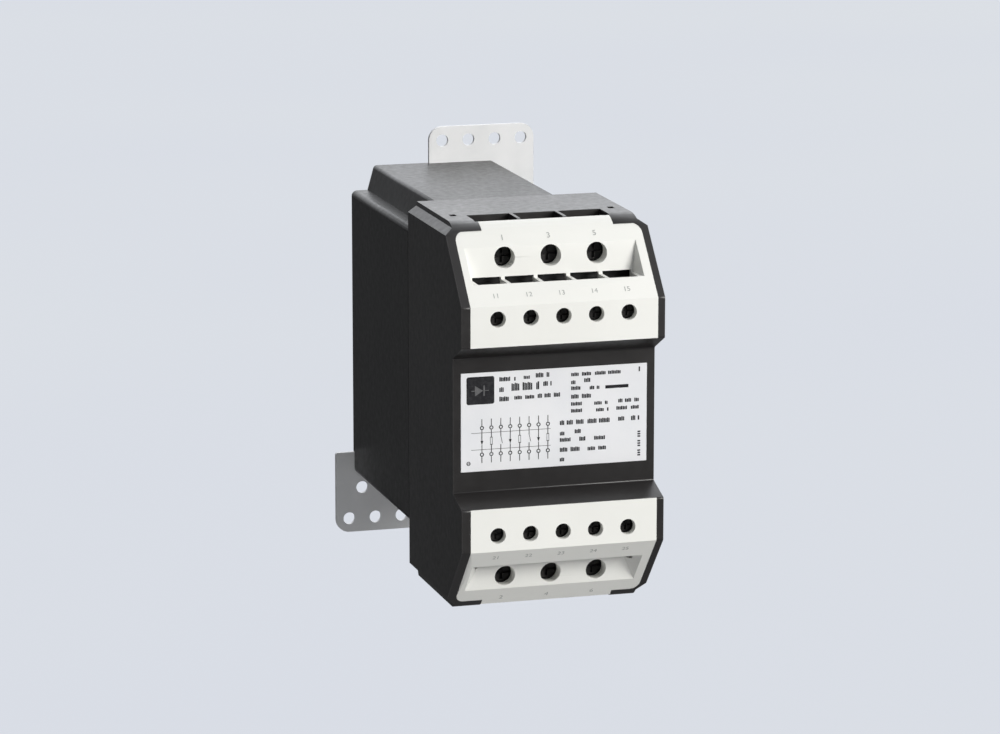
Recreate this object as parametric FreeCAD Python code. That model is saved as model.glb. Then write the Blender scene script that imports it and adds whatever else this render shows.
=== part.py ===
# Three-phase solid state relay for a control cabinet: a black head with two light terminal covers,
# sixteen screw clamps, and a narrower black body behind it that holds the power stage and heat sink.
# Millimetres. X runs to the right seen from the front, Y to the back, Z up.
# Each shape is drawn with Y as the depth behind the terminal faces, then shifted so that the rear
# mounting plane lies at Y = 0.
import os
import math
import FreeCAD
import Part

os.makedirs("parts", exist_ok=True)

# ---- driving dimensions ----
total_depth = 148.0          # terminal faces to the rear mounting plane
half_width = 36.0            # half of the head's width
head_top = 62.0
head_bottom = -72.8
head_back = 68.5             # depth of the head's rear face
middle = -5.0                # height of the plane the two terminal covers are mirrored about

body_left = -36.0
body_right = 26.0
body_half_height = 53.0
roof_left = -27.5
roof_right = 17.5
wall = 3.0

cover_edge = 28.0            # heights below are counted from the middle plane, outwards
cover_thickness = 1.8
cover_left, cover_right = -32.8, 33.5
tongue_left, tongue_right = -23.0, 24.0   # the gap between the head's corner bars
cover_radius = 3.0           # outer corners of each cover
recess_half = 30.5           # half-width of each cover's stepped part, with slanted ends
fit_gap = 0.1

wire_half = 7.6              # half-width of the wire openings in the head's ends
block_top = 62.9
bar_top = 62.0               # outer end of the power bars

control_pitch = 11.58
control_count = 5
control_height = 37.5
control_thread = 1.5         # M3 shank radius
power_pitch = 16.4
power_count = 3
power_height = 55.65
power_thread = 2.0           # M4 shank radius
thread_clearance = 0.05

label_top = 12.2
label_bottom = -22.2

plate_width = 40.0
plate_height = 30.4
plate_thickness = 1.5
plate_reach = 75.4           # outer edge of each mounting plate above or below the axis
hole_radius = 2.25
hole_pitch = 10.0
hole_line = 70.2             # height of the outer row of mounting holes
second_line = 58.6           # height of the lower plate's staggered inner row
lower_plate_left = -43.1
upper_plate_right = 33.1

board_thickness = 1.6
control_board_depth = 36.0
power_board_depth = 61.4
module_front = 73.0
module_half_width = 6.0
sink_front = 86.0
sink_base = 6.0
sink_back = 142.0
sink_left, sink_right = -32.5, 22.5
fin_thickness = 1.8
fin_count = 11

control_x = [(i - (control_count - 1) / 2) * control_pitch for i in range(control_count)]
power_x = [(i - (power_count - 1) / 2) * power_pitch for i in range(power_count)]


# ---- drawing helpers ----
def vec(x, y, z):
    return FreeCAD.Vector(x, y, z)


def box(x0, x1, y0, y1, z0, z1):
    return Part.makeBox(x1 - x0, y1 - y0, z1 - z0, vec(x0, y0, z0))


def rod(radius, x, y0, y1, z):
    """A cylinder along the depth."""
    return Part.makeCylinder(radius, y1 - y0, vec(x, y0, z), vec(0, 1, 0))


def corner(before, here, after, radius):
    """Start, middle and end of the arc that rounds one corner of an outline."""
    here = vec(*here, 0)
    to_before = (vec(*before, 0) - here).normalize()
    to_after = (vec(*after, 0) - here).normalize()
    half_angle = math.acos(max(-1.0, min(1.0, to_before.dot(to_after)))) / 2
    reach = radius / math.tan(half_angle)
    bisector = (to_before + to_after).normalize()
    centre = here + bisector * (radius / math.sin(half_angle))
    return here + to_before * reach, centre - bisector * radius, here + to_after * reach


def outline(points):
    """A closed wire through (a, b) points; a third number rounds that corner."""
    edges = []
    count = len(points)
    ends = []
    for i, point in enumerate(points):
        before, after = points[i - 1], points[(i + 1) % count]
        if len(point) == 3 and point[2] > 0:
            start, mid, end = corner(before[:2], point[:2], after[:2], point[2])
            edges.append(Part.Arc(start, mid, end).toShape())
        else:
            start = end = vec(point[0], point[1], 0)
        ends.append((start, end))
    for i in range(count):
        start, end = ends[i][1], ends[(i + 1) % count][0]
        if (end - start).Length > 1e-6:
            edges.append(Part.makeLine(start, end))
    return Part.Wire(Part.__sortEdges__(edges))


def along_x(points, x0, x1):
    """Extrude a (depth, height) outline from x0 to x1."""
    solid = Part.Face(outline(points)).extrude(vec(0, 0, x1 - x0))
    solid.Placement = FreeCAD.Placement(vec(x0, 0, 0), FreeCAD.Rotation(vec(0, 1, 0), vec(0, 0, 1),
                                                                        vec(1, 0, 0), "ZXY"))
    return solid


def along_y(points, y0, y1):
    """Extrude an (x, height) outline from depth y0 to y1."""
    solid = Part.Face(outline(points)).extrude(vec(0, 0, -(y1 - y0)))
    solid.Placement = FreeCAD.Placement(vec(0, y0, 0), FreeCAD.Rotation(vec(1, 0, 0), 90))
    return solid


def offset_path(path, distance):
    """Move an open (depth, height) path sideways, to its right hand, with mitred corners."""
    moved = []
    for i, (a, b) in enumerate(path):
        normals = []
        for start, end in zip(path[max(0, i - 1):i + 1], path[max(0, i - 1) + 1:i + 2]):
            da, db = end[0] - start[0], end[1] - start[1]
            length = math.hypot(da, db)
            normals.append((db / length, -da / length))
        na = sum(n[0] for n in normals)
        nb = sum(n[1] for n in normals)
        scale = distance * len(normals) / (na * na + nb * nb)
        moved.append((a + na * scale, b + nb * scale))
    return moved


def strip(path, thickness, x0, x1):
    """A bent flat bar whose centre line is the given (depth, height) path."""
    near = offset_path(path, -thickness / 2)
    far = offset_path(path, thickness / 2)
    return along_x(near + far[::-1], x0, x1)


def join(shapes):
    return shapes[0].multiFuse(shapes[1:]).removeSplitter()


def place(shape, side):
    """Put a shape drawn with heights from the middle plane on the upper (1) or lower (-1) side."""
    if side < 0:
        shape = shape.mirror(vec(0, 0, 0), vec(0, 0, 1))
    return shape.translated(vec(0, 0, middle))


def save(name, shape):
    shape = shape.translated(vec(0, -total_depth, 0))
    shape.exportStep(f"parts/{name}.step")


# ---- front profile of each side, (depth, height from the middle plane) ----
profiles = {
    1: {"top": head_top - middle, "rounding": 12.0, "face_end": 42.0, "slope_end": 23.0,
        "ledge": 48.5, "floor": 14.0, "slant": 0.3, "merge": (16.1, 59.5), "trim": 64.3,
        "end": [(19.5, 63.1), (21.5, 64.85), (23.5, 65.97), (25.5, 66.65)],
        "tip": 25.5, "corner_back": 24.5, "chamfer": [(36.2, 63.3), (33.0, 65.5), (32.7, 67.2)]},
    -1: {"top": middle - head_bottom, "rounding": 3.0, "face_end": 43.0, "slope_end": 22.84,
         "ledge": 49.5, "floor": 13.3, "slant": 1.0, "merge": (16.04, 60.4), "trim": 65.3,
         "end": [(22.3, 67.2)], "tip": 24.4, "corner_back": 24.0,
         "chamfer": [(36.2, 62.8), (33.0, 65.9), (32.7, 68.0)]},
}


def slope_depth(side, height):
    p = profiles[side]
    return (height - p["face_end"]) * p["slope_end"] / (p["top"] - p["face_end"])


def front_path(side):
    """The stepped front surface of a cover, from its inner edge outwards."""
    p = profiles[side]
    return [(0, cover_edge), (0, p["face_end"]), (slope_depth(side, p["ledge"]), p["ledge"]),
            (p["floor"], p["ledge"]), p["merge"]] + p["end"]


# ---- front housing ----
def cavity_end(side):
    """The inside of the head's upper or lower end, from the front opening to the rear wall."""
    p = profiles[side]
    inner = p["top"] - wall
    points = [(-1, p["trim"]), (p["corner_back"], p["trim"]), (p["corner_back"], inner),
              (head_back - wall, inner)]
    return [(depth, middle + side * height) for depth, height in points]


def corner_fillet(side, edge):
    """Rounds one outer corner of the opening that a terminal cover sits in."""
    p = profiles[side]
    inward = -1 if edge > 0 else 1
    centre = edge + inward * cover_radius
    low, high = p["trim"] - cover_radius, p["trim"] + 0.3
    piece = along_x([(slope_depth(side, low), low), (slope_depth(side, high), high),
                     (p["corner_back"], high), (p["corner_back"], low)],
                    *sorted((centre, edge - inward * 0.3)))
    return place(piece.cut(rod(cover_radius + fit_gap / 2, centre, -1, 40, low)), side)


def make_front_housing():
    upper, lower = profiles[1], profiles[-1]
    z_upper, z_lower = middle + upper["face_end"], middle - lower["face_end"]
    outer = along_x([(head_back, head_top), (upper["slope_end"], head_top, upper["rounding"]),
                     (0, z_upper, 1.2), (0, middle + cover_edge, 0.8), (11, 17.5, 1), (11, -29.4, 0.6),
                     (0, middle - cover_edge, 0.8), (0, z_lower, 1.2),
                     (lower["slope_end"], head_bottom, lower["rounding"]), (head_back, head_bottom)],
                    -half_width, half_width)
    z_in, z_out = middle + cover_edge, middle - cover_edge
    cavity = along_x([(-1, z_in), (2, z_in), (2, z_in + 1.6), (3.4, z_in + 1.6), (14, 19), (14, -30.6),
                      (3.4, z_out - 1.6), (2, z_out - 1.6), (2, z_out), (-1, z_out)]
                     + cavity_end(-1) + cavity_end(1)[::-1],
                     cover_left - fit_gap / 2, cover_right + fit_gap / 2)
    fillets = [corner_fillet(side, edge).common(outer)
               for side in (1, -1) for edge in (cover_left, cover_right)]
    body = join([outer.cut(cavity)] + fillets)

    cuts = []
    for side in (1, -1):
        p = profiles[side]
        z_face = middle + side * p["top"]
        z_low, z_high = sorted((z_face - side * 5, z_face + side))
        cuts.append(box(tongue_left, tongue_right, -1, p["tip"] + 2 * fit_gap, z_low, z_high))
        for x in power_x:
            cuts.append(box(x - wire_half, x + wire_half, p["tip"], 36.4, z_low, z_high))
        for x in (-28.4, 28.4):
            cuts.append(box(x - 1.1, x + 1.1, 36, 39.4, z_face - 0.8, z_face + 0.8))
        # sloped edges along both sides
        for s in (-1, 1):
            slope = [(s * x, height) for x, height in p["chamfer"] + [(36.2, p["chamfer"][-1][1])]]
            cuts.append(place(along_y(slope, -1, head_back + 1), side))
    # rear wall: the way into the rear body
    cuts.append(box(body_left + wall, body_right - wall, head_back - wall - 1, head_back + 1,
                    -45.4, 45.4))
    for x in (-power_pitch / 2, power_pitch / 2):
        for z in (-48.6, 48.6):
            cuts.append(rod(1.6, x, head_back - wall - 1, head_back + 1, z))
    for c in cuts:
        body = body.cut(c)
    return body


# ---- rear housing ----
def plate_outline(side):
    """The (x, height) outline of one mounting plate, outer corners rounded."""
    left = upper_plate_right - plate_width if side > 0 else lower_plate_left
    outer, inner = side * plate_reach, side * (plate_reach - plate_height)
    return [(left, inner, 1), (left + plate_width, inner, 1), (left + plate_width, outer, 5),
            (left, outer, 5)]


def fixing_x(side):
    """Where the two screws of each mounting plate sit in its overlap with the rear wall."""
    return (-30.0, -10.0) if side < 0 else (0.0, 20.0)


def make_rear_housing():
    h = body_half_height
    main = along_y([(body_left, -h, 2), (body_right, -h, 2), (body_right, h, 2), (body_left, h, 2)],
                   head_back, total_depth)
    roof = along_y([(roof_left - 2.5, h - 4), (roof_right + 2.5, h - 4), (roof_right + 2.5, h),
                    (roof_right, head_top, 1.5), (roof_left, head_top, 1.5), (roof_left - 2.5, h)],
                   head_back, total_depth)
    shell = join([main, roof])
    shell = shell.cut(box(body_left + wall, body_right - wall, head_back - 1, total_depth - wall,
                          -h + wall, h - wall))
    shell = shell.cut(box(roof_left + wall, roof_right - wall, head_back + wall, total_depth - wall,
                          h - wall - 1, head_top - wall))
    added = []
    for x in (-power_pitch / 2, power_pitch / 2):
        for side in (-1, 1):
            post = rod(3.2, x, head_back, head_back + 12, side * 48.6)
            added.append(post.fuse(box(x - 3.2, x + 3.2, head_back, head_back + 12,
                                       *sorted((side * 48.6, side * 51)))))
    for side in (-1, 1):
        for x in fixing_x(side):
            added.append(rod(3.6, x, total_depth - 12, total_depth - wall + 0.5, side * 49.0))
            added.append(box(x - 3.6, x + 3.6, total_depth - 12, total_depth - wall + 0.5,
                             *sorted((side * 49.0, side * 51))))
    shell = join([shell] + added)
    cuts = []
    for x in (-power_pitch / 2, power_pitch / 2):
        for side in (-1, 1):
            cuts.append(rod(1.5, x, head_back - 1, head_back + 9, side * 48.6))
    for side in (-1, 1):
        cuts.append(along_y(plate_outline(side), total_depth - plate_thickness, total_depth + 1))
        for x in fixing_x(side):
            cuts.append(rod(1.5, x, total_depth - 10, total_depth + 1, side * 49.0))
    # the joint line against the head, open on the flush left side
    cuts.append(box(body_left - 1, body_left + 0.5, head_back - 1, head_back + 0.5, -h - 1, h + 1))
    # air slots: underneath, and in the right wall
    for i in range(9):
        y = 84 + i * 6.4
        cuts.append(box(-28, 18, y, y + 3, -h - 1, -h + wall + 1))
    for i in range(7):
        z = -30 + i * 10
        cuts.append(box(body_right - wall - 1, body_right + 1, 90, 138, z - 2, z + 2))
    for c in cuts:
        shell = shell.cut(c)
    return shell


# ---- terminal covers ----
def cover_outline(side):
    """The (x, height) outline of a cover: a tongue runs out between the head's corner bars."""
    p = profiles[side]
    left, right, trim = tongue_left + fit_gap, tongue_right - fit_gap, p["trim"] - fit_gap / 2
    return [(cover_left, cover_edge), (cover_right, cover_edge), (cover_right, trim, cover_radius),
            (right, trim), (right, p["top"] + 1), (left, p["top"] + 1), (left, trim),
            (cover_left, trim, cover_radius)]


def recess_end(side, s):
    """What stays solid beyond one slanted end wall of a cover's stepped part."""
    p = profiles[side]
    rise, run = p["top"] - p["face_end"], p["slope_end"]
    length = math.hypot(rise, run)
    along = vec(0, run / length, rise / length)
    inward = vec(0, rise / length, -run / length)
    start = vec(0, 0, p["face_end"]) - along * 20
    corners = ((recess_half, -4), (recess_half, 0), (recess_half - 12 * p["slant"], 12), (45, 12), (45, -4))
    points = [start + vec(s * x, 0, 0) + inward * n for x, n in corners]
    return Part.Face(Part.makePolygon(points + points[:1])).extrude(along * 60)


def make_cover(side):
    p = profiles[side]
    path = front_path(side)
    surface = [path[0], path[1]] + p["end"]
    sheet = along_x(surface + [(p["tip"], p["end"][-1][1]), (p["tip"], cover_edge)]
                    if p["tip"] > p["end"][-1][0] else surface + [(p["tip"], cover_edge)], -40, 40)
    step = along_x([(slope_depth(side, p["ledge"]) - 3, p["ledge"]), (p["floor"], p["ledge"]),
                    p["merge"], (p["merge"][0] - 6, p["merge"][1] + 1), (0, p["ledge"] + 2)], -40, 40)
    for s in (-1, 1):
        step = step.cut(recess_end(side, s))
    sheet = sheet.cut(step)
    inner = offset_path(path, cover_thickness)
    inner[0] = (inner[0][0], cover_edge - 1)
    (d0, h0), (d1, h1) = inner[-2:]
    tail = (d1 + 2, h1 + 2 * (h1 - h0) / (d1 - d0))
    hollow = along_x(inner + [tail, (42, tail[1]), (42, cover_edge - 1)], -42, 42)
    behind = along_x(path + [(40, path[-1][1]), (40, cover_edge)], -40, 40)
    sheet = sheet.cut(hollow)
    tubes, bores = [], []
    for x in control_x:
        tubes.append(rod(3.7, x, 0.2, 3.1, control_height))
        bores.append(rod(2.75, x, -2, 10, control_height))
        bores.append(box(x - 5.1, x + 5.1, 6.1, 16.2, 44, p["ledge"] + 0.9))
        bores.append(box(x - 5.1, x + 5.1, 6.1, p["floor"], p["ledge"], 51.8))
    for x in power_x:
        tubes.append(rod(4.75, x, p["floor"], 20.0, power_height).common(behind))
        bores.append(rod(3.65, x, 0, 24, power_height))
    sheet = join([sheet] + tubes).common(along_y(cover_outline(side), -1, 42))
    for b in bores:
        sheet = sheet.cut(b)
    return place(sheet, side)


# ---- terminal blocks that carry the clamps ----
def make_block(side):
    block = along_x([(3.2, 32), (3.2, 41.6), (7.9, 46.2), (20.1, 46.2), (20.1, 58.0),
                     (25.4, block_top), (39, block_top), (39, 43), (16, 43), (16, 32)], -32.5, 32.5)
    cuts = []
    for x in control_x:
        cuts.append(box(x - 4.6, x + 4.6, 6.1, 14.8, 31, 48))
        cuts.append(rod(2.75, x, 0, 5.1, control_height))
        cuts.append(rod(control_thread + 0.08, x, 0, 8, control_height))
    for x in power_x:
        cuts.append(box(x - 6.6, x + 6.6, 24, 37.8, 47.9, 70))
        cuts.append(box(x - 4.8, x + 4.8, 30, 40, 47.9, 50.0))
        cuts.append(rod(3.65, x, 16, 22.5, power_height))
        cuts.append(rod(power_thread + 0.08, x, 16, 26, power_height))
    for c in cuts:
        block = block.cut(c)
    return place(block, side)


# ---- clamp screws and cages ----
def make_screw(x, height, head_radius, head_front, head_back_at, shank_radius, tip):
    """A slotted cross-recess screw that turns in its seat."""
    head = rod(head_radius, x, head_front, head_back_at, height)
    rim = [e for e in head.Edges if e.Curve.TypeId == "Part::GeomCircle"
           and abs(e.Curve.Center.y - head_front) < 1e-6]
    head = head.makeFillet(0.35, rim)
    screw = head.fuse(rod(shank_radius, x, head_back_at - 0.2, tip, height))
    depth = (head_back_at - head_front) * 0.55
    reach, half = head_radius * 0.74, head_radius * 0.14
    across = box(x - head_radius - 1, x + head_radius + 1, head_front - 1, head_front + depth,
                 height - half, height + half)
    upright = box(x - half, x + half, head_front - 1, head_front + depth,
                  height - reach, height + reach)
    return screw.cut(across).cut(upright)


def make_cage(x, height, front, back, front_wall, back_wall, half_outer, half_window,
              half_height, bore):
    """The lift cage: a ring open along the wire's way, threaded in its front wall."""
    cage = box(x - half_outer, x + half_outer, front, back, height - half_height, height + half_height)
    uprights = [e for e in cage.Edges if abs(e.tangentAt(e.FirstParameter).z) > 0.9]
    cage = cage.makeFillet(0.9, uprights)
    cage = cage.cut(box(x - half_window, x + half_window, front + front_wall, back - back_wall,
                        height - half_height - 1, height + half_height + 1))
    return cage.cut(rod(bore, x, front - 1, front + front_wall + 0.5, height))


for side, word in ((1, "upper"), (-1, "lower")):
    save(f"{word}_terminal_cover", make_cover(side))
    save(f"{word}_terminal_block", make_block(side))
    for i, x in enumerate(control_x, start=1):
        save(f"{word}_control_screw_{i}",
             place(make_screw(x, control_height, 2.6, 3.4, 5.0, control_thread, 9.5), side))
        save(f"{word}_control_clamp_{i}",
             place(make_cage(x, control_height, 8.2, 14.5, 1.2, 1.2, 4.2, 3.0, 3.6,
                             control_thread + thread_clearance), side))
    for i, x in enumerate(power_x, start=1):
        save(f"{word}_power_screw_{i}",
             place(make_screw(x, power_height, 3.45, 20.3, 22.4, power_thread, 29.8), side))
        save(f"{word}_power_clamp_{i}",
             place(make_cage(x, power_height, 27.6, 37.5, 2.0, 1.5, 6.2, 4.8, 4.0,
                             power_thread + thread_clearance), side))
    # contact bars of the control clamps run back to the control board
    pins = [place(strip([(10.1, 42.8), (10.1, 30.6), (control_board_depth + 3, 30.6)], 1.0,
                        x - 2.6, x + 2.6), side) for x in control_x]
    save(f"{word}_contact_bars", Part.makeCompound(pins))

save("front_housing", make_front_housing())
save("rear_housing", make_rear_housing())
save("rating_label", box(-33.2, 33.2, 10.85, 11.0, label_bottom, label_top))

# ---- power bars: from the clamps back and down onto the modules ----
rail = 43.9                  # height of the bars where they enter the rear body
meet = module_front - 0.75   # centre line of a bar lying on a module's front face
upper_way = [(30.65, middle + bar_top), (30.65, rail), (meet, rail), (meet, 23.0)]
lower_way = [(30.65, middle - bar_top), (30.65, middle - 48.9), (48, middle - 48.9),
             (48, -rail), (meet, -rail), (meet, -23.0)]
for word, way in (("upper", upper_way), ("lower", lower_way)):
    save(f"{word}_power_bars",
         Part.makeCompound([strip(way, 1.5, x - 4.2, x + 4.2) for x in power_x]))

# ---- power stage ----
screw_height = 26.5
for i, x in enumerate(power_x, start=1):
    module = box(x - module_half_width, x + module_half_width, module_front, sink_front, -30, 30)
    for z in (-screw_height, screw_height):
        module = module.cut(box(x - 4.6, x + 4.6, module_front - 1, module_front + 1.5,
                                z - 3.2 if z > 0 else z - 5, z + 5 if z > 0 else z + 3.2))
        module = module.cut(rod(1.6, x, module_front - 1, sink_front + 1, z))
    save(f"thyristor_module_{i}", module)

sink = box(sink_left, sink_right, sink_front, sink_front + sink_base, -44, 44)
fin_step = (sink_right - sink_left - fin_thickness) / (fin_count - 1)
fins = [box(x, x + fin_thickness, sink_front + sink_base - 0.2, sink_back, -44, 44)
        for x in [sink_left + fin_step * i for i in range(fin_count)]]
sink = join([sink] + fins)
for x in power_x:
    for z in (-screw_height, screw_height):
        sink = sink.cut(rod(1.5, x, sink_front - 1, sink_front + 5, z))
save("heat_sink", sink)


def cap_screw(x, z, seat, tip, head_radius, head_height, shank_radius):
    """A plain pan head screw pointing to the back, its head in front of the seat."""
    head = rod(head_radius, x, seat - head_height, seat, z)
    slot = box(x - head_radius - 1, x + head_radius + 1, seat - head_height - 1,
               seat - head_height * 0.5, z - 0.45, z + 0.45)
    return head.fuse(rod(shank_radius, x, seat - 0.3, tip, z)).cut(slot)


save("module_screws", Part.makeCompound(
    [cap_screw(x, z, module_front + 1.5, sink_front + 4, 2.9, 1.45, 1.5)
     for x in power_x for z in (-screw_height, screw_height)]))
save("housing_screws", Part.makeCompound(
    [cap_screw(x, z, head_back - wall, head_back + 8, 2.6, 2.0, 1.5)
     for x in (-power_pitch / 2, power_pitch / 2) for z in (-48.6, 48.6)]))

# ---- boards and what stands on them ----
board_low, board_high = middle - 35.5, middle + 35.5
power_board_face = power_board_depth + board_thickness
columns = [(x, z) for x in (-28.6, 28.6) for z in (-21.0, 14.0)]

board = box(-31.5, 31.5, control_board_depth, control_board_depth + board_thickness,
            board_low, board_high)
for side in (1, -1):
    for x in control_x:
        slot = box(x - 2.65, x + 2.65, control_board_depth - 1, control_board_depth + 3, 30.05, 31.15)
        board = board.cut(place(slot, side))
for x, z in columns:
    board = board.cut(rod(1.6, x, control_board_depth - 1, control_board_depth + 3, z))
save("control_board", board)

board = box(-31.5, 31.5, power_board_depth, power_board_face, board_low, board_high)
for x, z in columns:
    board = board.cut(rod(1.6, x, power_board_depth - 1, power_board_face + 1, z))
save("power_board", board)

spacers = []
for x, z in columns:
    spacers.append(rod(2.8, x, 14, control_board_depth, z).fuse(rod(1.5, x, 35, 42, z)))
    spacers.append(rod(2.8, x, control_board_depth + board_thickness, power_board_depth, z)
                   .cut(rod(1.55, x, 35, 43, z)).fuse(rod(1.5, x, 60, power_board_face + 2, z)))
save("board_spacers", Part.makeCompound(spacers))

core = box(-13, 13, 44, 58.5, -17, 9)
coil = box(-9, 9, 41.5, power_board_depth, -13.5, 5.5)
save("supply_transformer", join([core, coil]))

capacitors = []
for x in power_x:
    can = box(x - 6, x + 6, 48, power_board_depth, 15.5, 22.5)
    capacitors.append(can.makeFillet(0.8, can.Edges[0:4]))
save("snubber_capacitors", Part.makeCompound(capacitors))

discs = [Part.makeCylinder(6.2, 4, vec(x, 53.8, -29), vec(0, 0, 1)).fuse(
    box(x - 3, x + 3, 59, power_board_depth, -27.6, -26.4)) for x in power_x]
save("varistors", Part.makeCompound(discs))

chips = [box(x - 3.2, x + 3.2, control_board_depth + board_thickness,
             control_board_depth + board_thickness + 3.5, -33, -24.5) for x in power_x]
save("trigger_optocouplers", Part.makeCompound(chips))

# ---- mounting plates and their screws ----
for side, word in ((1, "upper"), (-1, "lower")):
    plate = along_y(plate_outline(side), total_depth - plate_thickness, total_depth)
    first = upper_plate_right - 5 - 3 * hole_pitch if side > 0 else lower_plate_left + 5
    spots = [(first + hole_pitch * i, hole_line) for i in range(4)]
    if side < 0:
        spots += [(first + hole_pitch * (i + 0.5), second_line) for i in range(3)]
    for x, height in spots:
        plate = plate.cut(rod(hole_radius, x, total_depth - 3, total_depth + 1, side * height))
    for x in fixing_x(side):
        plate = plate.cut(Part.makeCone(1.55, 3.1, plate_thickness,
                                        vec(x, total_depth - plate_thickness, side * 49.0),
                                        vec(0, 1, 0)))
    save(f"{word}_mounting_plate", plate)

rivets = []
for side in (-1, 1):
    for x in fixing_x(side):
        flat = Part.makeCone(1.5, 3.0, plate_thickness - 0.05,
                             vec(x, total_depth - plate_thickness, side * 49.0), vec(0, 1, 0))
        cross = box(x - 0.4, x + 0.4, total_depth - 0.8, total_depth + 1,
                    side * 49.0 - 1.8, side * 49.0 + 1.8)
        screw = flat.fuse(rod(1.45, x, total_depth - 9.5, total_depth - 1, side * 49.0))
        rivets.append(screw.cut(cross))
save("mounting_plate_screws", Part.makeCompound(rivets))
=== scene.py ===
import math
import bmesh
import bpy
from mathutils import Euler, Matrix, Vector


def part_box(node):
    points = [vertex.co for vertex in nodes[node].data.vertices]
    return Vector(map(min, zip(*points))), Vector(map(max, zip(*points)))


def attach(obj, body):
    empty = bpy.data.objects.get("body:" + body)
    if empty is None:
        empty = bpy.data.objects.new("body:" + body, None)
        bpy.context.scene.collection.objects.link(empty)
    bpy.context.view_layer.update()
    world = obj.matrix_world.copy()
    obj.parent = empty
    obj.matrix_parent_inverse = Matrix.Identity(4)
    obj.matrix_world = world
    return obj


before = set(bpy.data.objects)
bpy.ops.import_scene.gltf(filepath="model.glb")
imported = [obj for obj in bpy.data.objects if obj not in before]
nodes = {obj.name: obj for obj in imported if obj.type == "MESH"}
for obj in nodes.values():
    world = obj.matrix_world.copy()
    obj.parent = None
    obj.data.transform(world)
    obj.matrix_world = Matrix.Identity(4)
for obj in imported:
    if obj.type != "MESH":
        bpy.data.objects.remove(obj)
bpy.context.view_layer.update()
MM = 0.001
FACE = -148.0 * MM           # Y of the two upright terminal faces
MIDDLE_PLANE = -5.0 * MM     # Z that the two terminal covers are measured from

# ---------------------------------------------------------------- materials


class Paint:
    """A node material around one Principled shader, in object coordinates (metres)."""

    def __init__(self, name):
        self.mat = bpy.data.materials.new(name)
        self.mat.use_nodes = True
        self.tree = self.mat.node_tree
        self.shader = self.tree.nodes["Principled BSDF"]
        self.coords = self.add("ShaderNodeTexCoord").outputs["Object"]

    def add(self, kind, **settings):
        node = self.tree.nodes.new(kind)
        for key, value in settings.items():
            setattr(node, key, value)
        return node

    def link(self, source, target):
        self.tree.links.new(source, target)

    def stretch(self, scale, rotation=(0, 0, 0)):
        mapping = self.add("ShaderNodeMapping")
        mapping.inputs["Scale"].default_value = scale
        mapping.inputs["Rotation"].default_value = rotation
        self.link(self.coords, mapping.inputs["Vector"])
        return mapping.outputs["Vector"]

    def noise(self, scale, detail=4.0, roughness=0.55, vector=None):
        node = self.add("ShaderNodeTexNoise")
        node.inputs["Scale"].default_value = scale
        node.inputs["Detail"].default_value = detail
        node.inputs["Roughness"].default_value = roughness
        self.link(vector or self.coords, node.inputs["Vector"])
        return node.outputs["Fac"]

    def spread(self, value, low, high, to_low=0.0, to_high=1.0):
        node = self.add("ShaderNodeMapRange")
        limits = {"From Min": low, "From Max": high, "To Min": to_low, "To Max": to_high}
        for key, amount in limits.items():
            node.inputs[key].default_value = amount
        self.link(value, node.inputs["Value"])
        return node.outputs["Result"]

    def math(self, operation, a, b):
        node = self.add("ShaderNodeMath", operation=operation)
        for socket, value in zip(node.inputs, (a, b)):
            if isinstance(value, (int, float)):
                socket.default_value = value
            else:
                self.link(value, socket)
        return node.outputs["Value"]

    def mix(self, factor, a, b):
        node = self.add("ShaderNodeMix", data_type="RGBA")
        self.link(factor, node.inputs["Factor"])
        colour_a, colour_b, colour_result = 6, 7, 2      # a mix node's colour sockets, by place
        for socket, value in zip((node.inputs[colour_a], node.inputs[colour_b]), (a, b)):
            if isinstance(value, tuple):
                socket.default_value = (*value, 1)
            else:
                self.link(value, socket)
        return node.outputs[colour_result]

    def bump(self, height, strength, distance, under=None):
        node = self.add("ShaderNodeBump")
        node.inputs["Strength"].default_value = strength
        node.inputs["Distance"].default_value = distance
        self.link(height, node.inputs["Height"])
        if under is not None:
            self.link(under, node.inputs["Normal"])
        return node.outputs["Normal"]

    def edges(self, radius):
        """0 on flat surfaces, rising to 1 on worn edges."""
        bevel = self.add("ShaderNodeBevel", samples=4)
        bevel.inputs["Radius"].default_value = radius
        flat = self.add("ShaderNodeNewGeometry").outputs["Normal"]
        dot = self.add("ShaderNodeVectorMath", operation="DOT_PRODUCT")
        self.link(bevel.outputs["Normal"], dot.inputs[0])
        self.link(flat, dot.inputs[1])
        return self.spread(dot.outputs["Value"], 0.99, 0.80)

    def finish(self, colour, roughness, normal=None, metallic=0.0, **sockets):
        self.link(colour, self.shader.inputs["Base Color"])
        self.link(roughness, self.shader.inputs["Roughness"])
        if normal is not None:
            self.link(normal, self.shader.inputs["Normal"])
        self.shader.inputs["Metallic"].default_value = metallic
        for key, value in sockets.items():
            self.shader.inputs[key.replace("_", " ")].default_value = value
        return self.mat


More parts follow.
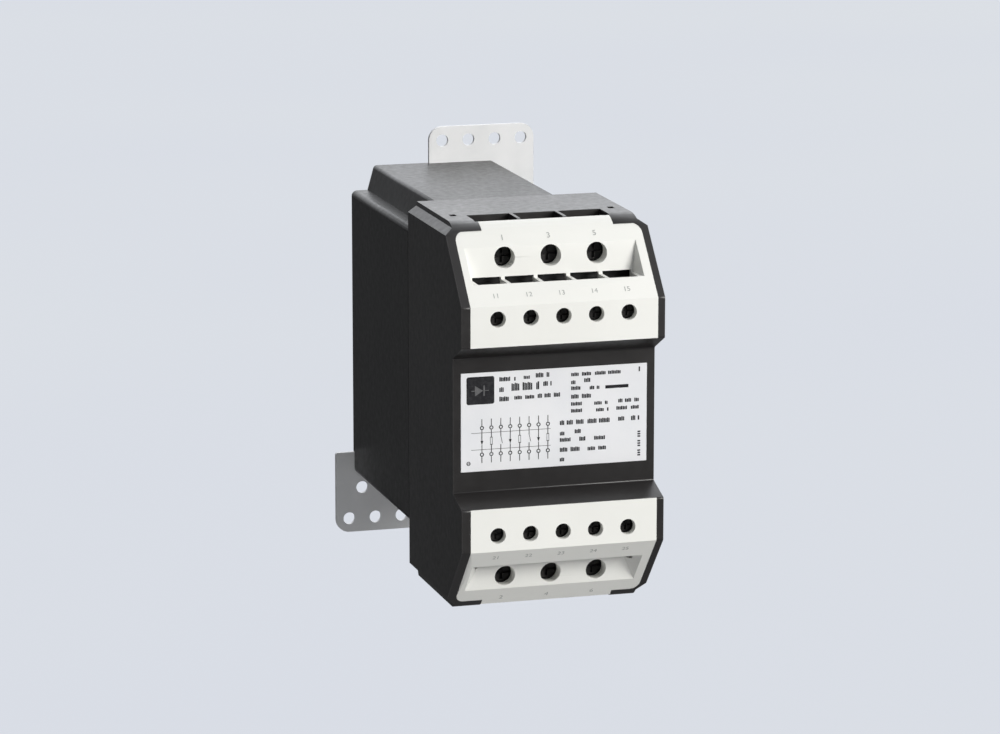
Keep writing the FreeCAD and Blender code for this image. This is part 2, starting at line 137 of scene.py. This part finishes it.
def moulded(name, base, pale, rough, grain=0.35, wear=0.0, worn=(0.1, 0.1, 0.1), ior=1.5):
    """Injection-moulded plastic: spark-eroded grain, faint flow marks, dust and rubbed edges."""
    p = Paint(name)
    cloud = p.noise(18.0, 5.0, 0.6)
    flow = p.noise(1.0, 3.0, 0.5, p.stretch((90, 22, 14), (0.3, 0.2, 0.1)))
    fine = p.noise(3800.0, 2.0, 0.5)
    mottle = p.noise(420.0, 3.0, 0.6)
    colour = p.mix(p.spread(cloud, 0.3, 0.72), base, pale)
    colour = p.mix(p.spread(flow, 0.52, 0.75, 0.0, 0.35), colour, pale)
    if wear:
        rubbed = p.spread(p.noise(160.0, 4.0, 0.6), 0.35, 0.65, 0.25, wear)
        rub = p.math("MULTIPLY", p.edges(0.7 * MM), rubbed)
        colour = p.mix(rub, colour, worn)
    roughness = p.math("ADD", p.spread(mottle, 0.3, 0.7, rough - 0.05, rough + 0.05),
                       p.spread(cloud, 0.3, 0.7, -0.03, 0.04))
    normal = p.bump(fine, grain, 0.04 * MM, p.bump(mottle, grain * 0.5, 0.06 * MM))
    return p.finish(colour, roughness, normal, IOR=ior)


def metal(name, base, pale, rough, brush, scratch=0.25, spangle=0.0, metallic=1.0):
    """Plated or drawn metal with fine directional marks and soft stains."""
    p = Paint(name)
    lines = p.noise(1.0, 3.0, 0.6, p.stretch(brush))
    stain = p.noise(60.0, 4.0, 0.6)
    colour = p.mix(p.spread(stain, 0.3, 0.75), base, pale)
    if spangle:
        cells = p.add("ShaderNodeTexVoronoi", feature="F1")
        cells.inputs["Scale"].default_value = 260.0
        p.link(p.coords, cells.inputs["Vector"])
        tone = p.add("ShaderNodeSeparateColor")
        p.link(cells.outputs["Color"], tone.inputs["Color"])
        colour = p.mix(p.math("MULTIPLY", tone.outputs["Red"], spangle), colour, pale)
    roughness = p.math("ADD", p.spread(lines, 0.3, 0.7, rough - 0.08, rough + 0.08),
                       p.spread(stain, 0.3, 0.7, -0.04, 0.05))
    normal = p.bump(lines, scratch, 0.02 * MM)
    return p.finish(colour, roughness, normal, metallic=metallic)


def paper(name):
    """Coated label stock: soft tone changes and short fibres."""
    p = Paint(name)
    fibre = p.noise(1.0, 4.0, 0.7, p.stretch((2600, 900, 700)))
    tone = p.noise(45.0, 3.0, 0.5)
    colour = p.mix(p.spread(tone, 0.3, 0.7), (0.76, 0.77, 0.80), (0.83, 0.83, 0.85))
    colour = p.mix(p.spread(fibre, 0.55, 0.8, 0.0, 0.25), colour, (0.68, 0.69, 0.70))
    return p.finish(colour, p.spread(fibre, 0.3, 0.7, 0.34, 0.46), p.bump(fibre, 0.2, 0.02 * MM),
                    Coat_Weight=0.15, Coat_Roughness=0.3)


def ink(name, dark, faded):
    """Printed ink, thin in places."""
    p = Paint(name)
    blotch = p.noise(900.0, 4.0, 0.7)
    wide = p.noise(120.0, 2.0, 0.5)
    colour = p.mix(p.spread(blotch, 0.45, 0.75), dark, faded)
    colour = p.mix(p.spread(wide, 0.4, 0.8, 0.0, 0.4), colour, faded)
    return p.finish(colour, p.spread(blotch, 0.3, 0.7, 0.42, 0.58),
                    p.bump(blotch, 0.1, 0.01 * MM), Specular_IOR_Level=0.15)


def board(name):
    """Solder mask over copper traces."""
    p = Paint(name)
    brick = p.add("ShaderNodeTexBrick", offset=0.5)
    brick.inputs["Scale"].default_value = 130.0
    brick.inputs["Mortar Size"].default_value = 0.06
    p.link(p.stretch((1, 1, 1), (math.pi / 2, 0, 0)), brick.inputs["Vector"])
    weave = p.noise(700.0, 3.0, 0.6)
    colour = p.mix(brick.outputs["Fac"], (0.012, 0.11, 0.035), (0.05, 0.26, 0.09))
    colour = p.mix(p.spread(weave, 0.4, 0.8, 0.0, 0.4), colour, (0.02, 0.16, 0.05))
    return p.finish(colour, p.spread(weave, 0.3, 0.7, 0.22, 0.36),
                    p.bump(brick.outputs["Fac"], 0.4, 0.03 * MM))


black = moulded("moulded_black", (0.014, 0.0125, 0.0125), (0.019, 0.0175, 0.0175), 0.36,
                grain=0.2, wear=0.5, worn=(0.075, 0.075, 0.078))
black_rear = moulded("moulded_black_rear", (0.012, 0.0115, 0.0115), (0.017, 0.0165, 0.0165), 0.40,
                     grain=0.22, wear=0.5, worn=(0.07, 0.07, 0.072), ior=1.45)
inner_black = moulded("moulded_black_inner", (0.010, 0.010, 0.010), (0.016, 0.016, 0.016), 0.5)
light = moulded("moulded_light_grey", (0.80, 0.80, 0.765), (0.84, 0.84, 0.81), 0.46,
                grain=0.22, wear=0.35, worn=(0.90, 0.90, 0.87), ior=1.46)
plate = metal("zinc_sheet", (0.78, 0.79, 0.80), (0.86, 0.86, 0.87), 0.5, (700, 60, 45),
              scratch=0.2, spangle=0.35, metallic=0.3)
# painted shade: the terminal screws sit deep in their wells and are coloured near black to stand for the
# shade down there
screw_dark_as_well_shade = metal("blackened_steel", (0.030, 0.029, 0.029), (0.055, 0.053, 0.052), 0.46, (900, 50, 900))
screw = metal("screw_metal", (0.46, 0.46, 0.45), (0.62, 0.62, 0.60), 0.30, (900, 50, 900))
clamp = metal("clamp_metal", (0.52, 0.52, 0.50), (0.66, 0.66, 0.63), 0.34, (60, 60, 900))
contact = metal("tinned_bar", (0.62, 0.55, 0.38), (0.74, 0.70, 0.58), 0.28, (900, 40, 60))
sink = metal("extruded_aluminium", (0.60, 0.61, 0.62), (0.72, 0.73, 0.74), 0.38, (900, 900, 30),
             scratch=0.35)

finishes = {
    "front_housing": black, "rear_housing": black_rear,
    "upper_terminal_cover": light, "lower_terminal_cover": light,
    "upper_terminal_block": inner_black, "lower_terminal_block": inner_black,
    "rating_label": paper("label_paper"),
    "upper_mounting_plate": plate, "lower_mounting_plate": plate,
    "heat_sink": sink,
    "upper_power_bars": contact, "lower_power_bars": contact,
    "upper_contact_bars": contact, "lower_contact_bars": contact,
    "control_board": board("solder_mask"),
    "board_spacers": moulded("nylon", (0.72, 0.71, 0.64), (0.80, 0.79, 0.73), 0.45),
    "snubber_capacitors": moulded("capacitor_case", (0.52, 0.36, 0.05), (0.62, 0.44, 0.09), 0.3),
    "varistors": moulded("varistor_coat", (0.02, 0.09, 0.30), (0.04, 0.14, 0.38), 0.25),
    "trigger_optocouplers": moulded("chip_white", (0.72, 0.72, 0.68), (0.80, 0.80, 0.76), 0.42),
    "supply_transformer": moulded("potting", (0.02, 0.02, 0.024), (0.035, 0.035, 0.04), 0.35),
}
finishes["power_board"] = finishes["control_board"]
module = moulded("module_epoxy", (0.025, 0.024, 0.024), (0.04, 0.039, 0.038), 0.5, grain=0.5)


def finish_of(name):
    """The material of one CAD node."""
    if name.startswith("thyristor_module"):
        return module
    # the terminal screws in the wells get the near-black colour that stands for the shade in the wells
    if "_screw_" in name:
        return screw_dark_as_well_shade
    if name.endswith("_screws"):
        return screw
    if "_clamp_" in name:
        return clamp
    return finishes[name]


for name, node in nodes.items():
    node.data.materials.clear()
    node.data.materials.append(finish_of(name))

# ---------------------------------------------------------------- softened edges of the CAD pieces
SMALL_EDGE = 0.12            # millimetres, on every piece not named here
EDGES = {"front_housing": 0.35, "rear_housing": 0.4,
         "upper_terminal_cover": 0.25, "lower_terminal_cover": 0.25,
         "upper_mounting_plate": 0.15, "lower_mounting_plate": 0.15}
WELD_DISTANCE = 0.004 * MM
LEAST_BEND = math.radians(32)    # edges that bend less than this stay as they are
for name, node in nodes.items():
    weld = node.modifiers.new("weld", "WELD")
    weld.merge_threshold = WELD_DISTANCE
    bevel = node.modifiers.new("soft_edges", "BEVEL")
    bevel.width = EDGES.get(name, SMALL_EDGE) * MM
    bevel.segments = 2
    bevel.limit_method = "ANGLE"
    bevel.angle_limit = LEAST_BEND
    bevel.use_clamp_overlap = True
    bevel.miter_outer = "MITER_ARC"

# ---------------------------------------------------------------- printed marks


def make_piece(name, bm, material, body="housing"):
    mesh = bpy.data.meshes.new(name)
    bm.normal_update()
    bm.to_mesh(mesh)
    bm.free()
    mesh.materials.append(material)
    piece = bpy.data.objects.new(name, mesh)
    bpy.context.scene.collection.objects.link(piece)
    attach(piece, body)


LABEL_LOW, LABEL_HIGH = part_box("rating_label")
LABEL_WIDTH = LABEL_HIGH[0] - LABEL_LOW[0]
LABEL_HEIGHT = LABEL_HIGH[2] - LABEL_LOW[2]
PRINT_RAISE = 0.03 * MM      # how far the print stands out of the label
SIGN_RAISE = 0.06 * MM       # the sign lies on top of its printed square
PRINT_SINK = 0.01 * MM       # how far the back of the print lies inside the label


def label_point(across, down, raise_by):
    """A point on the label, as parts of its width from the left and of its height from the top."""
    return Vector((LABEL_LOW[0] + across * LABEL_WIDTH, LABEL_LOW[1] - raise_by,
                   LABEL_HIGH[2] - down * LABEL_HEIGHT))


def pad(bm, outline, raise_by=PRINT_RAISE):
    """A thin printed patch over the outline, which lists label points (across, down)."""
    front = [bm.verts.new(label_point(a, d, raise_by)) for a, d in outline]
    back = [bm.verts.new(label_point(a, d, -PRINT_SINK)) for a, d in outline]
    bm.faces.new(front)
    bm.faces.new(back[::-1])
    for i in range(len(front)):
        j = (i + 1) % len(front)
        bm.faces.new((front[j], front[i], back[i], back[j]))


def patch(bm, left, top, right, bottom, raise_by=PRINT_RAISE):
    """A printed rectangle."""
    pad(bm, [(left, bottom), (right, bottom), (right, top), (left, top)], raise_by)


def rounded_patch(bm, left, top, right, bottom, radius):
    """A printed rectangle with round corners; the radius is a part of the label's width."""
    tall = radius * LABEL_WIDTH / LABEL_HEIGHT
    steps = 5
    corners = ((right - radius, bottom - tall, 0), (left + radius, bottom - tall, 90),
               (left + radius, top + tall, 180), (right - radius, top + tall, 270))
    points = []
    for across, down, start in corners:
        for k in range(steps + 1):
            angle = math.radians(start + 90 * k / steps)
            points.append((across + radius * math.cos(angle), down + tall * math.sin(angle)))
    pad(bm, points)


def ring(bm, across, down, radius, width):
    """A printed circle; sizes are parts of the label's width."""
    count = 16
    squash = LABEL_WIDTH / LABEL_HEIGHT
    grid = []
    for r in (radius, radius - width):
        circle = []
        for k in range(count):
            angle = 2 * math.pi * k / count
            place = (across + r * math.cos(angle), down + r * squash * math.sin(angle))
            circle.append(bm.verts.new(label_point(*place, PRINT_RAISE)))
        grid.append(circle)
    for k in range(count):
        j = (k + 1) % count
        bm.faces.new((grid[0][j], grid[0][k], grid[1][k], grid[1][j]))


def line_of_words(bm, left, right, down, height, seed):
    """A row of small blocks that stands for a printed line: words of uneven length, no letters."""
    block_share = 0.82       # the part of a letter's cell that is printed
    x, k = left, seed
    while x < right - 0.008:
        letters = 3 + (k * 7 + seed * 3) % 6
        for i in range(letters):
            cell = 0.0075 + 0.0022 * ((k * 5 + i * 3 + seed) % 4) / 3
            if x + cell > right:
                break
            tall = height * (0.85 + 0.30 * ((k + i * 2 + seed) % 3) / 2)
            patch(bm, x, down - tall / 2, x + cell * block_share, down + height / 2)
            x += cell
        x += 0.012 + 0.004 * ((k + seed) % 3)
        k += 1


# each printed line as (left, right, down, height, seed)
TITLE_LINES = (
    (0.205, 0.30, 0.080, 0.040, 1), (0.335, 0.37, 0.075, 0.030, 4), (0.400, 0.48, 0.060, 0.045, 2),
    (0.205, 0.25, 0.185, 0.045, 3), (0.270, 0.42, 0.165, 0.075, 5), (0.440, 0.49, 0.150, 0.045, 6),
    (0.205, 0.26, 0.280, 0.045, 7), (0.285, 0.395, 0.275, 0.035, 8), (0.410, 0.535, 0.270, 0.040, 9))
DATA_LINES = (
    (0.590, 0.880, 0.075, 0.034, 2), (0.955, 0.972, 0.060, 0.045, 1),
    (0.590, 0.625, 0.155, 0.036, 3), (0.660, 0.700, 0.140, 0.040, 5),
    (0.590, 0.650, 0.215, 0.036, 4), (0.690, 0.745, 0.220, 0.034, 6),
    (0.590, 0.720, 0.300, 0.040, 8), (0.590, 0.670, 0.375, 0.034, 1), (0.715, 0.795, 0.380, 0.032, 2),
    (0.845, 0.960, 0.370, 0.036, 3), (0.590, 0.670, 0.445, 0.034, 4), (0.725, 0.795, 0.450, 0.032, 5),
    (0.835, 0.960, 0.445, 0.034, 7), (0.530, 0.820, 0.560, 0.044, 9), (0.845, 0.885, 0.555, 0.040, 2),
    (0.915, 0.965, 0.555, 0.045, 3), (0.530, 0.575, 0.670, 0.036, 6), (0.610, 0.650, 0.655, 0.040, 5),
    (0.530, 0.590, 0.735, 0.036, 7), (0.635, 0.670, 0.735, 0.040, 1), (0.715, 0.785, 0.735, 0.036, 4),
    (0.530, 0.655, 0.835, 0.042, 2), (0.680, 0.785, 0.840, 0.036, 8), (0.530, 0.560, 0.935, 0.036, 3))

print_marks = bmesh.new()
# the dark square behind the sign, upper left
rounded_patch(print_marks, 0.030, 0.040, 0.178, 0.320, 0.010)
# title lines beside it, then data lines on the right
for line in TITLE_LINES + DATA_LINES:
    line_of_words(print_marks, *line)
patch(print_marks, 0.775, 0.205, 0.900, 0.238)
# a narrow upright line of blocks at the right edge
for k in range(11):
    if k % 4 != 3:
        patch(print_marks, 0.951, 0.690 + k * 0.024, 0.966, 0.690 + k * 0.024 + 0.015)
# a plain wiring diagram: eight poles, two rows of terminals
POLES = 8
FIRST_POLE = 0.112
POLE_STEP = 0.0505
WIRE = 0.0020                # half the width of a drawn wire
for k in range(POLES):
    across = FIRST_POLE + POLE_STEP * k
    ring(print_marks, across, 0.560, 0.0110, 0.0050)
    ring(print_marks, across, 0.830, 0.0110, 0.0050)
    switch_top = 0.655 if k % 3 else 0.690
    for top, bottom in ((0.470, 0.538), (0.852, 0.915), (0.582, switch_top), (0.735, 0.808)):
        patch(print_marks, across - WIRE, top, across + WIRE, bottom)
    if k % 3 == 0:
        pad(print_marks, [(across - 0.0075, 0.690), (across, 0.735), (across + 0.0075, 0.690)])
    elif k % 3 == 1:
        patch(print_marks, across - 0.0065, 0.655, across + 0.0065, 0.662)
        patch(print_marks, across - 0.0065, 0.728, across + 0.0065, 0.735)
        patch(print_marks, across - 0.0065, 0.655, across - 0.0045, 0.735)
        patch(print_marks, across + 0.0045, 0.655, across + 0.0065, 0.735)
    else:
        pad(print_marks, [(across - 0.001, 0.655), (across + 0.0015, 0.655), (across + 0.010, 0.725),
                          (across + 0.0075, 0.728)])
patch(print_marks, 0.055, 0.608, 0.480, 0.612)
patch(print_marks, 0.055, 0.778, 0.480, 0.782)
ring(print_marks, 0.040, 0.915, 0.011, 0.004)
patch(print_marks, 0.033, 0.912, 0.047, 0.920)
label_ink = ink("label_ink", (0.014, 0.014, 0.017), (0.04, 0.04, 0.044))
make_piece("label_print", print_marks, label_ink)

# a generic arrow-and-bar sign on the dark square
sign = bmesh.new()
pad(sign, [(0.118, 0.1825), (0.075, 0.130), (0.075, 0.235)], SIGN_RAISE)
patch(sign, 0.120, 0.130, 0.128, 0.235, SIGN_RAISE)
patch(sign, 0.056, 0.179, 0.0745, 0.186, SIGN_RAISE)
patch(sign, 0.1285, 0.179, 0.148, 0.186, SIGN_RAISE)
sign_ink = ink("sign_ink", (0.10, 0.10, 0.105), (0.16, 0.16, 0.165))
make_piece("label_sign", sign, sign_ink)

terminal_ink = ink("terminal_ink", (0.36, 0.37, 0.36), (0.52, 0.53, 0.52))
NUMBER_THICKNESS = 0.015 * MM
NUMBER_RAISE = 0.02 * MM     # how far the middle of a number stands off its face


def number(text, centre, up, normal, size):
    """A small printed number lying on a face, as a mesh."""
    curve = bpy.data.curves.new("number", "FONT")
    curve.body = text
    curve.size = size
    curve.align_x = "CENTER"
    curve.align_y = "CENTER"
    curve.extrude = NUMBER_THICKNESS
    holder = bpy.data.objects.new("number", curve)
    mesh = bpy.data.meshes.new_from_object(holder)
    right = up.cross(normal)
    turn = Matrix((right, up, normal)).transposed().to_4x4()
    turn.translation = centre + normal * NUMBER_RAISE
    mesh.transform(turn)
    bpy.data.objects.remove(holder)
    bpy.data.curves.remove(curve)
    return mesh


def numbers(name, marks):
    """One piece from all the numbers in the list."""
    bm = bmesh.new()
    for mark in marks:
        mesh = number(*mark)
        bm.from_mesh(mesh)
        bpy.data.meshes.remove(mesh)
    make_piece(name, bm, terminal_ink)


def centre_of(node):
    low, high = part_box(node)
    return (Vector(low) + Vector(high)) / 2


POWER_SIZE = 3.0 * MM
CONTROL_SIZE = 2.6 * MM
# Each half has its side of the middle plane, the height in millimetres where its slope starts, the depth
# that the slope gains per height, its upward and outward directions, and the height and the numbers of
# its two rows of marks.
HALVES = {
    "upper": (1, 42.0, 0.92, Vector((0, 0.6771, 0.7359)), Vector((0, -0.7359, 0.6771)),
              (62.0, ("1", "3", "5")), (45.0, ("11", "12", "13", "14", "15"))),
    "lower": (-1, 43.0, 22.84 / 24.8, Vector((0, -0.6774, 0.7356)), Vector((0, -0.7356, -0.6774)),
              (64.6, ("2", "4", "6")), (45.8, ("21", "22", "23", "24", "25"))),
}
for half, (side, start, gain, upward, outward, power_row, control_row) in HALVES.items():
    marks = []
    for kind, size, row in (("power", POWER_SIZE, power_row), ("control", CONTROL_SIZE, control_row)):
        height, texts = row
        y = FACE + (height - start) * gain * MM
        z = MIDDLE_PLANE + side * height * MM
        for i, text in enumerate(texts):
            x = centre_of(f"{half}_{kind}_screw_{i + 1}").x
            marks.append((text, Vector((x, y, z)), upward, outward, size))
    numbers(f"{half}_terminal_marks", marks)

# ---------------------------------------------------------------- stage, light and camera
# a round floor whose rim sweeps up into a pale wall, as (radius, height) from the middle outwards
FLOOR_HEIGHT = -0.42
WALL_TOP = 3.8
SPOKES = 64
sweep = [(2.0, FLOOR_HEIGHT), (4.0, FLOOR_HEIGHT), (6.0, FLOOR_HEIGHT), (7.3, FLOOR_HEIGHT + 0.25),
         (8.1, FLOOR_HEIGHT + 0.9), (8.5, FLOOR_HEIGHT + 2.0), (8.6, WALL_TOP)]
points = [(0, 0, FLOOR_HEIGHT)]
for radius, height in sweep:
    for k in range(SPOKES):
        angle = 2 * math.pi * k / SPOKES
        points.append((radius * math.cos(angle), radius * math.sin(angle), height))
panels = [(0, 1 + k, 1 + (k + 1) % SPOKES) for k in range(SPOKES)]
for level in range(len(sweep) - 1):
    inner = 1 + level * SPOKES
    outer = inner + SPOKES
    for k in range(SPOKES):
        j = (k + 1) % SPOKES
        panels.append((inner + k, outer + k, outer + j, inner + j))
floor_mesh = bpy.data.meshes.new("floor")
floor_mesh.from_pydata(points, [], panels)
floor_mesh.shade_smooth()
floor = bpy.data.objects.new("floor", floor_mesh)
bpy.context.scene.collection.objects.link(floor)
# the floor shines by itself; it takes no part in reflections, bounced light or shadows
p = Paint("pale_floor")
tone = p.noise(0.8, 2.0, 0.5)
glow = p.mix(p.spread(tone, 0.3, 0.7), (0.69, 0.72, 0.785), (0.71, 0.74, 0.785))
p.link(glow, p.shader.inputs["Emission Color"])
p.shader.inputs["Emission Strength"].default_value = 1.0
floor_mesh.materials.append(p.finish(p.mix(tone, (0.002, 0.002, 0.002), (0.004, 0.004, 0.004)),
                                     p.spread(tone, 0.3, 0.7, 0.85, 0.95), Specular_IOR_Level=0.0))
floor.visible_glossy = False
floor.visible_diffuse = False
floor.visible_shadow = False

world = bpy.data.worlds.new("studio")
bpy.context.scene.world = world
world.use_nodes = True
tree = world.node_tree
background = tree.nodes["Background"]
direction = tree.nodes.new("ShaderNodeTexCoord")
split = tree.nodes.new("ShaderNodeSeparateXYZ")
tree.links.new(direction.outputs["Generated"], split.inputs["Vector"])


def ramp(axis, low, high, to_low, to_high):
    """A soft change of brightness along one axis of the viewing direction."""
    node = tree.nodes.new("ShaderNodeMapRange")
    node.interpolation_type = "SMOOTHSTEP"
    limits = {"From Min": low, "From Max": high, "To Min": to_low, "To Max": to_high}
    for key, amount in limits.items():
        node.inputs[key].default_value = amount
    tree.links.new(split.outputs[axis], node.inputs["Value"])
    return node.outputs["Result"]


def combine(operation, a, b):
    node = tree.nodes.new("ShaderNodeMath")
    node.operation = operation
    for socket, value in zip(node.inputs, (a, b)):
        if isinstance(value, float):
            socket.default_value = value
        else:
            tree.links.new(value, socket)
    return node.outputs["Value"]


# a bright back wall and ceiling, a dim front and a dark left side
EVERYWHERE = 0.22
above = ramp("Z", 0.15, 0.65, 0.0, 0.48)
back_wall = ramp("Y", 0.25, 0.75, 0.0, 1.75)
over_horizon = ramp("Z", -0.08, 0.2, 0.0, 1.0)
behind = combine("MULTIPLY", back_wall, over_horizon)
strength = combine("ADD", combine("ADD", above, behind), EVERYWHERE)
strength = combine("MULTIPLY", strength, ramp("X", -0.5, 0.25, 0.3, 1.0))
tree.links.new(strength, background.inputs["Strength"])
background.inputs["Color"].default_value = (0.95, 0.97, 1.0, 1)


LIGHT_TARGET = Vector((0, -0.08, 0))


def softbox(name, place, size, power, colour=(1, 1, 1)):
    """A square area light that points at the object; sizes in metres, power in watts."""
    lamp = bpy.data.lights.new(name, "AREA")
    lamp.shape = "RECTANGLE"
    lamp.size = size
    lamp.size_y = size
    lamp.energy = power
    lamp.color = colour
    holder = bpy.data.objects.new(name, lamp)
    bpy.context.scene.collection.objects.link(holder)
    holder.location = place
    holder.rotation_euler = (LIGHT_TARGET - Vector(place)).to_track_quat("-Z", "Y").to_euler()


softbox("key", (1.0, -1.45, 0.66), 0.8, 31, (1.0, 0.99, 0.96))
softbox("low", (-0.75, -1.2, -1.2), 0.9, 7)

# worked out from the straight edges of the object: metres, degrees and millimetres
CAMERA_PLACE = (-0.4238, -1.5236, 0.3198)
CAMERA_TURN = (78.037, 0.0, -16.263)
CAMERA_LENS = 156.4
SENSOR_WIDTH = 36.0
FARTHEST = 50.0              # metres, well behind the pale wall
camera_data = bpy.data.cameras.new("camera")
camera_data.sensor_width = SENSOR_WIDTH
camera_data.lens = CAMERA_LENS
camera_data.clip_end = FARTHEST
camera = bpy.data.objects.new("camera", camera_data)
bpy.context.scene.collection.objects.link(camera)
camera.location = CAMERA_PLACE
camera.rotation_euler = Euler([math.radians(turn) for turn in CAMERA_TURN])
bpy.context.scene.camera = camera
bpy.context.scene.view_settings.view_transform = "Standard"
